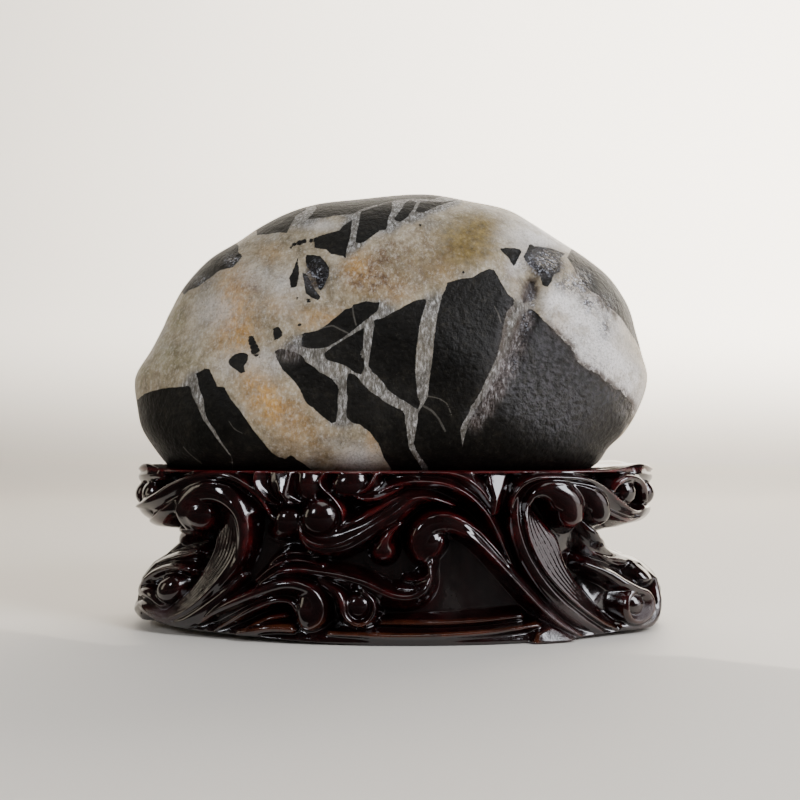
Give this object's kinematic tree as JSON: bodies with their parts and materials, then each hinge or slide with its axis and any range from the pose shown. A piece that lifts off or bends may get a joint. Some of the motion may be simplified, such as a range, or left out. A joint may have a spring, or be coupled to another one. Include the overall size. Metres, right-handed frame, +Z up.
{
  "type": "scholars rock on stand",
  "caption": "Rounded dark display stone with pale veins, resting in a seat in an oval wooden stand carved all round with waves and curls.",
  "frame": {"origin": "middle of the stand's flat underside", "axes": "+Z up, +X to the right along the long side as seen from the front, -Y towards the viewer"},
  "size_m": [0.3849, 0.2118, 0.3121],
  "materials": {
    "stone": "smooth water-worn, waxed",
    "lacquered_wood": "glossy dark red lacquer"
  },
  "bodies": {
    "root": {"stone": "stone", "carved_stand": "lacquered_wood"}
  },
  "joints": []
}
